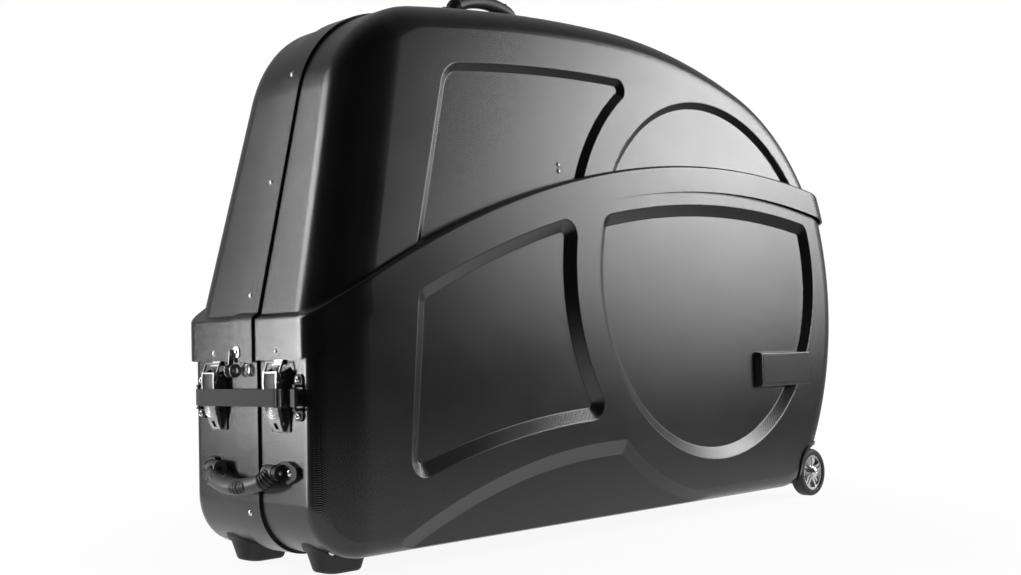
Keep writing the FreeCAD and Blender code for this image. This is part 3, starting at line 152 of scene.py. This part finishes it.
def plastic(name, colour, roughness, grain=0.0, pitch=0.003, gloss=0.5):
    """Moulded plastic or rubber: mottled colour, uneven sheen, and a grain of a depth in metres."""
    material, tree, shader, place = new_material(name)
    patches = noise(tree, place, mottle_scale)
    light = [part * mottle_light for part in colour]
    sheen = spread(tree, patches, roughness - sheen_change, roughness + sheen_change)
    tree.links.new(tint(tree, patches, colour, light), shader.inputs["Base Color"])
    tree.links.new(sheen, shader.inputs["Roughness"])
    shader.inputs["Specular IOR Level"].default_value = gloss
    fine = noise(tree, place, fine_scale, fine_detail)
    height = fine
    if grain:
        height = maths(tree, "ADD", diamonds(tree, place, pitch), maths(tree, "MULTIPLY", fine, fine_share))
    tree.links.new(bump(tree, height, grain or fine_depth), shader.inputs["Normal"])
    return material


def metal(name, colour, roughness):
    """Bare or plated metal with faint smudges and fine scratches."""
    material, tree, shader, place = new_material(name)
    patches = noise(tree, place, smudge_scale)
    dark = [part * smudge_dark for part in colour]
    tree.links.new(tint(tree, patches, dark, colour), shader.inputs["Base Color"])
    tree.links.new(spread(tree, patches, roughness, roughness + smudge_change), shader.inputs["Roughness"])
    shader.inputs["Metallic"].default_value = 1.0
    scratches = noise(tree, place, scratch_scale, fine_detail)
    tree.links.new(bump(tree, scratches, scratch_depth), shader.inputs["Normal"])
    return material


looks = {
    "textured_black_sheet": plastic(
        "sheet", (0.0040, 0.0038, 0.0038), 0.22, grain=0.00003, pitch=0.0032, gloss=0.6,
    ),
    "webbing": plastic("webbing", (0.068, 0.065, 0.065), 0.75, grain=0.0004, pitch=0.0026, gloss=0.3),
    "tyre_rubber": plastic("tyre", (0.012, 0.012, 0.012), 0.55, gloss=0.4),
    "hub_silver": metal("hub", (0.72, 0.72, 0.73), 0.24),
    "bush_plastic": plastic("bush", (0.06, 0.06, 0.06), 0.5),
    "foot_rubber": plastic("foot", (0.014, 0.014, 0.014), 0.6, gloss=0.4),
    "pad_rubber": plastic("pad", (0.02, 0.02, 0.02), 0.65),
    "grip_plastic": plastic("grip", (0.03, 0.029, 0.029), 0.42),
    "black_plastic": plastic("black", (0.006, 0.006, 0.006), 0.45, gloss=0.3),
    "black_metal": plastic("painted", (0.007, 0.007, 0.007), 0.4, gloss=0.35),
    "badge_plastic": plastic("badge", (0.012, 0.012, 0.012), 0.3),
    "rail_metal": metal("rail", (0.6, 0.6, 0.61), 0.32),
    "plated_steel": metal("plated", (0.46, 0.46, 0.47), 0.27),
    "fastener_steel": metal("fastener", (0.62, 0.62, 0.63), 0.24),
}
for part in frame["record"]["subparts"]:
    node = nodes[part["node"]]
    node.data.materials.clear()
    node.data.materials.append(looks[part["material_slot"]])


# Pieces modelled here, in millimetres at the places of the hardware

mm = 0.001


class Place:
    """A frame on the case: its origin in metres, its outward direction and the direction across."""

    def __init__(self, origin, outward, across):
        self.origin = Vector(origin)
        self.outward = Vector(outward)
        self.across = Vector(across)
        self.up = self.across.cross(self.outward)

    def point(self, across, out, drop):
        return self.origin + (self.across * across + self.outward * out - self.up * drop) * mm


def piece(name, points, faces, look, body):
    mesh = bpy.data.meshes.new(name)
    mesh.from_pydata([tuple(point) for point in points], [], faces)
    mesh.validate()
    mesh.shade_smooth()
    mesh.materials.append(looks[look])
    made = bpy.data.objects.new(name, mesh)
    scene.collection.objects.link(made)
    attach(made, body)
    return made


def skin(rings):
    """Faces of a skin over equal rings of points, with flat ends."""
    points = [point for ring in rings for point in ring]
    count = len(rings[0])
    faces = []
    for row in range(len(rings) - 1):
        for number in range(count):
            following = (number + 1) % count
            faces.append((
                row * count + number, row * count + following,
                (row + 1) * count + following, (row + 1) * count + number,
            ))
    faces.append(tuple(reversed(range(count))))
    faces.append(tuple(range(len(points) - count, len(points))))
    return points, faces


turned_steps = 28


def turned(profile, place, way):
    """Rings of a turned form: its profile is pairs of radius and height along a direction."""
    side = way.orthogonal().normalized()
    other = way.cross(side)
    rings = []
    for radius, height in profile:
        ring = []
        for step in range(turned_steps):
            turn = 2 * math.pi * step / turned_steps
            aside = side * math.cos(turn) + other * math.sin(turn)
            ring.append(place + aside * radius * mm + way * height * mm)
        rings.append(ring)
    return skin(rings)


ends = {
    "front": Place((-0.669824, 0, 0.311908), (-1, 0, 0), (0, 1, 0)),
    "rear": Place((0.675221, 0, 0.565828), (0.979050, 0, 0.203621), (0, -1, 0)),
}


# Webbing straps

strap_width = 25.0
strap_thick = 1.6
strap_drop = 56.0
strap_out = 22.8
loop_y = 124.0
loop_out = 9.0
wrap_radius = 3.2
wrap_turns = range(-115, 111, 15)
fold_start = 84.0
fold_end = 99.0
fold_out = 20.9
fold_foot = (118.0, 8.4)
laid_start = 100.0
hook_out = 14.2
bend_start = 109.0
bend_end = 113.0
bend_round = 3.0
strap_end = 123.0
sleeve_width = 27.0
# Name, start and end across, middle outward, and thickness
hook_blocks = (("_hook_sleeve", 94.0, 105.0, strap_out, 3.2), ("_hook_block", 104.0, 117.0, 19.5, 9.8))
strap_steps = 6
edge_round = 0.5
edge_start = 0.15
selvedge = 2.0
edge_share = 0.75
selvedge_share = 0.94
middle_share = 0.9


def rounded(points, radius, steps):
    """A path with each corner drawn round."""
    path = [points[0]]
    for before, corner, after in zip(points, points[1:], points[2:]):
        start = corner + (before - corner).normalized() * min(radius, (before - corner).length / 2)
        end = corner + (after - corner).normalized() * min(radius, (after - corner).length / 2)
        for step in range(steps + 1):
            share = step / steps
            path.append(start.lerp(corner, share).lerp(corner.lerp(end, share), share))
    return path + [points[-1]]


def strap_path():
    """Centre line of a strap, across and out: folded round the far loop and laid over the levers."""
    fold = [Vector((fold_start, fold_out)), Vector((fold_end, fold_out)), Vector(fold_foot)]
    for turn in wrap_turns:
        wrap = Vector((math.cos(math.radians(turn)), math.sin(math.radians(turn))))
        fold.append(Vector((loop_y, loop_out)) + wrap * wrap_radius)
    laid = [
        Vector((laid_start, strap_out)), Vector((-bend_start, strap_out)),
        Vector((-bend_end, hook_out)), Vector((-strap_end, hook_out)),
    ]
    return rounded(fold + laid, bend_round, strap_steps)


def strap_section(width, thickness):
    """Across a band: pairs of drop and height, with round edges and slightly thick selvedges."""
    half = width / 2
    thick = thickness / 2
    edge = [
        (half - selvedge, thick * selvedge_share), (half - edge_round, thick),
        (half - edge_start, thick * edge_share), (half, 0.0),
    ]
    top = [(-drop, height) for drop, height in reversed(edge)] + [(0.0, thick * middle_share)] + edge
    return top + [(drop, -height) for drop, height in reversed(top[1:-1])]


def band(path, place, section):
    """Skin of a band laid along a path of points across and out."""
    rings = []
    for number, point in enumerate(path):
        before = path[max(number - 1, 0)]
        after = path[min(number + 1, len(path) - 1)]
        way = (after - before).normalized()
        normal = Vector((way.y, -way.x))
        ring = []
        for drop, height in section:
            spot = point + normal * height
            ring.append(place.point(spot.x, spot.y, strap_drop + drop))
        rings.append(ring)
    return skin(rings)


def strap(end, place):
    """The webbing, and the black sleeve of the hook that its free end is sewn into."""
    body = end + "_strap_band"
    section = strap_section(strap_width, strap_thick)
    made = piece(end + "_webbing", *band(strap_path(), place, section), "webbing", body)
    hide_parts(end + "_strap")
    for name, start, stop, out, thick in hook_blocks:
        block = [Vector((-start, out)), Vector((-stop, out))]
        section = strap_section(sleeve_width, thick)
        piece(end + name, *band(block, place, section), "black_plastic", body)


stitch_rows = (-9.0, -3.0, 3.0, 9.0)
stitch_start = 87.0
stitch_pitch = 2.6
stitch_count = 5
stitch_steps = 8
stitch_length = 2.21
stitch_lift = 0.05
stitch_shares = ((-0.5, 0.12), (-0.3, 0.3), (0.3, 0.3), (0.5, 0.12))


def stitches(end, place):
    """Rows of thread where the strap is sewn back on itself."""
    points = []
    faces = []
    for row in stitch_rows:
        for number in range(stitch_count):
            middle = stitch_start + number * stitch_pitch
            rings = []
            for share, size in stitch_shares:
                ring = []
                for step in range(stitch_steps):
                    turn = 2 * math.pi * step / stitch_steps
                    ring.append(place.point(
                        middle + share * stitch_length,
                        strap_out + strap_thick / 2 + stitch_lift + size * math.sin(turn),
                        strap_drop + row + size * math.cos(turn),
                    ))
                rings.append(ring)
            new_points, new_faces = skin(rings)
            faces += [tuple(index + len(points) for index in face) for face in new_faces]
            points += new_points
    piece(end + "_stitches", points, faces, "webbing", end + "_strap_band")


# Latch inserts and eyelets

latch_y = 80.0
insert_half = 13.7
insert_top = 21.2
insert_foot = 52.4
insert_floor = 18.25
insert_rise = 1.5
insert_edge = 0.8
insert_shares = (0.25, 0.3)
eyelet_out = 4.2
eyelet_gap = 51.0
# Pairs of radius and height
eyelet_rim = (
    (2.0, 0.6), (2.1, 1.3), (2.6, 1.9), (3.4, 2.0), (4.2, 1.5), (4.75, 0.5), (4.8, -1.0), (2.0, -1.0),
)
# The black plug in each rivet's hole is painted shade: the dark of the hole made as a black piece
eyelet_shade_plug = ((2.05, 0.2), (2.05, 1.15), (0.1, 1.18))


def insert(end, side, place, y):
    """The dark panel in the front of a lever, raised and rounded between its rails."""
    rings = []
    face = insert_floor + insert_rise
    in_share, down_share = insert_shares
    for less, out in (
        (0, insert_floor), (0, face - insert_edge),
        (in_share * insert_edge, face - down_share * insert_edge), (insert_edge, face),
    ):
        half = insert_half - less
        top = insert_top + less
        foot = insert_foot - less
        corners = [(-half, top), (half, top), (half, foot), (-half, foot)]
        rings.append([place.point(y + across, out, drop) for across, drop in corners])
    piece(end + "_" + side + "_insert", *skin(rings), "black_plastic", end + "_" + side + "_latch_arm")


def eyelets(end, place):
    """Rolled rims of the rivets that hold the strap's loops, with black plugs in their holes as painted
    shade.
    """
    for side in (-1, 1):
        for number, rise in enumerate((-eyelet_gap / 2, eyelet_gap / 2)):
            spot = place.point(side * loop_y, eyelet_out, strap_drop + rise)
            name = "%s_%s_%d" % (end, "far" if side > 0 else "near", number)
            points, faces = turned(eyelet_rim, spot, place.outward)
            last = len(points) - turned_steps
            faces = faces[:-2]
            for step in range(turned_steps):
                following = (step + 1) % turned_steps
                faces.append((last + step, last + following, following, step))
            piece(name + "_eyelet", points, faces, "fastener_steel", "tub")
            # Black plug in the hole, painted shade
            piece(name + "_painted_shade", *turned(eyelet_shade_plug, spot, place.outward), "black_plastic", "tub")


# Grips

bow = 28.5
arch_bow = 166.1125
arch_turn = 21.175
leg = 71.5
bend = 18.0
arm = 0.5
tube_radius = 11.5


class Grip:
    """A grip's centre line about its hinge: across, and along the direction of its bow."""

    def __init__(self, hinge, bow_way, across):
        self.hinge = Vector(hinge)
        self.bow_way = Vector(bow_way)
        self.across = Vector(across)
        self.face = self.across.cross(self.bow_way)

    def at(self, run, side):
        """Point and direction of the centre line at a run from the hinge, on the side of +1 or -1."""
        turn = max(0.0, min(run - arm, bend * math.radians(90 - arch_turn))) / bend
        if run <= arm:
            return (side * leg, run), (0.0, 1.0)
        y = leg - bend + bend * math.cos(turn)
        z = arm + bend * math.sin(turn)
        return (side * y, z), (-side * math.sin(turn), math.cos(turn))

    def point(self, y, z, aside):
        return self.hinge + (self.across * y + self.bow_way * z + self.face * aside) * mm


cuff_start = 3.0
# Side, end of the cuff along the leg, and its ribs
# The near cuff runs on round the elbow, partly a real cuff and partly a black sleeve standing as painted
# shade where that elbow lies in shade
cuffs = {"near": (-1, 21.0, 5), "far": (1, 10.0, 2)}
cuff_steps = 40
cuff_sides = 36
cuff_rise = 0.35
cuff_rib = 1.15
cuff_rib_power = 0.7
cuff_lip = 0.05
pad_long = 18.0
pad_wide = 10.5
pad_shift = -22.0
pad_ribs = 5
pad_sides = 72
pad_shares = (0.02, 0.15, 0.3, 0.45, 0.6, 0.72, 0.82, 0.9, 0.96, 1.0, 1.03)
pad_rise = 0.6
pad_rib = 1.5
pad_rib_power = 6
pad_sunk = -0.4
# Pairs of radius and height
plug_profile = (
    (7.4, -1.6), (7.3, 0.3), (6.6, 0.8), (5.9, 0.7), (5.4, 0.1), (4.2, 0.0), (3.8, 0.4), (0.1, 0.6),
)
plug_aside = 54.0
plug_less = 9.6


def cuff(name, grip, side, cuff_end, cuff_ribs, body):
    """The ribbed rubber cuff at the foot of a grip's leg: the near one goes on round the elbow, its black
    there partly a real cuff and partly painted shade.
    """
    rings = []
    for step in range(cuff_steps + 1):
        share = step / cuff_steps
        (y, z), (way_y, way_z) = grip.at(cuff_start + share * (cuff_end - cuff_start), side)
        swell = cuff_rise + cuff_rib * abs(math.sin(math.pi * cuff_ribs * share)) ** cuff_rib_power
        radius = tube_radius + (swell if 0 < step < cuff_steps else cuff_lip)
        ring = []
        for number in range(cuff_sides):
            turn = 2 * math.pi * number / cuff_sides
            out = radius * math.cos(turn)
            ring.append(grip.point(y + out * way_z, z - out * way_y, radius * math.sin(turn)))
        rings.append(ring)
    piece(name, *skin(rings), "black_plastic", body)


def pad(name, grip, facing, body):
    """The oval ribbed pad on a grip, beside its middle and facing a turn from its bow."""
    rings = []
    for share in pad_shares:
        ring = []
        for number in range(pad_sides):
            turn = 2 * math.pi * number / pad_sides
            run = pad_long * share * math.cos(turn)
            around = math.radians(facing) + pad_wide * share * math.sin(turn) / tube_radius
            rib = (1 + math.cos(math.pi * run * pad_ribs / pad_long)) / 2
            rise = pad_rise + pad_rib * rib * max(0.0, 1 - share ** pad_rib_power)
            if share > 1:
                rise = pad_sunk
            tilt = (run + pad_shift) / arch_bow
            out = (tube_radius + rise) * math.cos(around)
            y = (arch_bow + out) * math.sin(tilt)
            z = bow - arch_bow + (arch_bow + out) * math.cos(tilt)
            ring.append(grip.point(y, z, (tube_radius + rise) * math.sin(around)))
        rings.append(ring)
    piece(name, *skin(rings), "black_plastic", body)


def plug(name, grip, side, facing, body):
    """The round plug in an elbow of a grip."""
    turn = math.radians(facing)
    normal = (grip.bow_way * math.cos(turn) + grip.face * math.sin(turn)).normalized()
    spot = grip.point(side * plug_aside, bow - plug_less, 0) + normal * tube_radius * mm
    piece(name, *turned(plug_profile, spot, normal), "grip_plastic", body)


# Each grip, and the turns in degrees that its pad and its plug face
grips = {
    "front": (Grip((-0.682824, 0, 0.151), (-0.615661, 0, -0.788011), (0, 1, 0)), 46.0, 50.0),
    "top": (Grip((-0.175633, 0, 0.899949), (-0.062244, 0, 0.998061), (0.998061, 0, 0.062244)), 0.0, 0.0),
}

for end, place in ends.items():
    strap(end, place)
    stitches(end, place)
    eyelets(end, place)
    for side in ("near", "far"):
        outer = latch_y if place.across.y > 0 else -latch_y
        insert(end, side, place, outer if side == "far" else -outer)
for name, (grip, pad_facing, plug_facing) in grips.items():
    body = name + "_grip"
    pad(name + "_grip_pad", grip, pad_facing, body)
    plug(name + "_plug", grip, cuffs["far"][0], plug_facing, body)
    for label, (side, cuff_end, cuff_ribs) in cuffs.items():
        cuff(name + "_" + label + "_cuff", grip, side, cuff_end, cuff_ribs, body)


# Stage, light and camera

def seen_directly(tree):
    """1 where the camera, a mirror or glass looks at a surface, and 0 where it only lights others."""
    path = add(tree, "LightPath")
    through = maths(tree, "MAXIMUM", path.outputs["Is Glossy Ray"], path.outputs["Is Transmission Ray"])
    return maths(tree, "MAXIMUM", path.outputs["Is Camera Ray"], through)


def pale_floor():
    """Pale paper that looks white, and keeps a share of its shading for the shadow under the case."""
    material, tree, shader, place = new_material("paper")
    paper = tint(tree, noise(tree, place, paper_scale), paper_dark, paper_light)
    tree.links.new(paper, shader.inputs["Base Color"])
    shader.inputs["Roughness"].default_value = paper_roughness
    glow = add(tree, "Emission")
    both = add(tree, "MixShader")
    distance = add(tree, "VectorMath", operation="LENGTH")
    tree.links.new(place, distance.inputs[0])
    white = add(tree, "MapRange")
    tree.links.new(distance.outputs["Value"], white.inputs["Value"])
    white.inputs["From Min"].default_value = fade_start
    white.inputs["From Max"].default_value = fade_end
    white.inputs["To Min"].default_value = 1 - shadow_share
    tree.links.new(maths(tree, "MULTIPLY", seen_directly(tree), white.outputs["Result"]), both.inputs[0])
    tree.links.new(shader.outputs[0], both.inputs[1])
    tree.links.new(glow.outputs[0], both.inputs[2])
    tree.links.new(both.outputs[0], tree.nodes["Material Output"].inputs["Surface"])
    return material


def studio_world():
    """White to the camera, a backdrop behind the case in reflections, and a plain fill for all else."""
    world = bpy.data.worlds.new("studio")
    world.use_nodes = True
    tree = world.node_tree
    way = add(tree, "TexCoord").outputs["Generated"]
    behind = add(tree, "MapRange")
    behind.inputs["From Min"].default_value = backdrop_start
    behind.inputs["From Max"].default_value = backdrop_end
    behind.inputs["To Max"].default_value = backdrop_level
    tree.links.new(along(tree, way, backdrop_way), behind.inputs["Value"])
    path = add(tree, "LightPath")
    reflected = maths(tree, "MAXIMUM", path.outputs["Is Glossy Ray"], path.outputs["Is Transmission Ray"])
    fill = maths(tree, "MULTIPLY", maths(tree, "SUBTRACT", 1.0, reflected), studio_fill)
    mirrored = maths(tree, "MULTIPLY", reflected, behind.outputs["Result"])
    level = maths(tree, "ADD", fill, mirrored)
    strength = maths(tree, "MAXIMUM", path.outputs["Is Camera Ray"], level)
    tree.links.new(strength, tree.nodes["Background"].inputs["Strength"])
    tree.nodes["Background"].inputs["Color"].default_value = (1, 1, 1, 1)
    return world


def softbox(name, place, target, width, height, power):
    data = bpy.data.lights.new(name, "AREA")
    data.shape = "RECTANGLE"
    data.size = width
    data.size_y = height
    data.energy = power
    lamp = bpy.data.objects.new(name, data)
    scene.collection.objects.link(lamp)
    lamp.location = place
    lamp.rotation_euler = (Vector(target) - Vector(place)).to_track_quat("-Z", "Y").to_euler()
    lamp.visible_camera = False


paper_scale = 3.0
paper_dark = (0.86, 0.86, 0.86)
paper_light = (0.89, 0.89, 0.89)
paper_roughness = 0.9
shadow_share = 0.08
fade_start = 0.7
fade_end = 1.2
backdrop_way = (0.71, 0.70, 0.0)
backdrop_start = -0.30
backdrop_end = 0.38
backdrop_level = 0.33
studio_fill = 0.6
right_distance = 2.3
right_middle = Vector((0.2, -0.17, 0))
right_target = (0.1, -0.1, 0.5)
# Heights and tallnesses of the rows, then each column's turn and the powers of its rows
right_rows = ((0.62, 0.4), (1.05, 0.4), (1.6, 0.6))
right_columns = ((42, (0, 3.4, 1.2)), (53, (4.4, 5.4, 8.5)), (64, (2.2, 6.5, 9.5)))
right_width = 0.45
left_distance = 2.0
left_middle = Vector((-0.69, 0, 0))
left_target = (-0.6, 0, 0.5)
# Turn, height, tallness and power
left_boxes = ((43, 0.3, 0.5, 20), (46.5, 0.9, 0.6, 8.5), (46.5, 1.6, 0.7, 16))
left_width = 0.24
for turn, powers in right_columns:
    way = Vector((math.sin(math.radians(turn)), -math.cos(math.radians(turn)), 0))
    for (height, tall), power in zip(right_rows, powers):
        if power:
            place = right_middle + way * right_distance + Vector((0, 0, height))
            softbox("right_box", place, right_target, right_width, tall, power)
for turn, height, tall, power in left_boxes:
    way = Vector((-math.cos(math.radians(turn)), math.sin(math.radians(turn)), 0))
    place = left_middle + way * left_distance + Vector((0, 0, height))
    softbox("left_box", place, left_target, left_width, tall, power)
scene.world = studio_world()

floor_sides = 96
floor_radius = 1.25
bpy.ops.mesh.primitive_circle_add(vertices=floor_sides, radius=floor_radius, fill_type="NGON")
floor = bpy.context.object
floor.name = "floor"
floor.data.materials.append(pale_floor())

camera_data = bpy.data.cameras.new("camera")
camera_data.sensor_width = sensor
camera_data.lens = camera_focus / photo_width * sensor
camera = bpy.data.objects.new("camera", camera_data)
scene.collection.objects.link(camera)
yaw, pitch, roll = [math.radians(turn) for turn in (camera_yaw, camera_pitch, camera_roll)]
forward = Vector((math.sin(yaw) * math.cos(pitch), math.cos(yaw) * math.cos(pitch), math.sin(pitch)))
level = Vector((math.cos(yaw), -math.sin(yaw), 0))
upward = level.cross(forward)
right = level * math.cos(roll) + upward * math.sin(roll)
over = upward * math.cos(roll) - level * math.sin(roll)
axes = Matrix((right, over, -forward)).transposed().to_4x4()
camera.matrix_world = Matrix.Translation(camera_place) @ axes
scene.camera = camera
scene.view_settings.view_transform = "Standard"
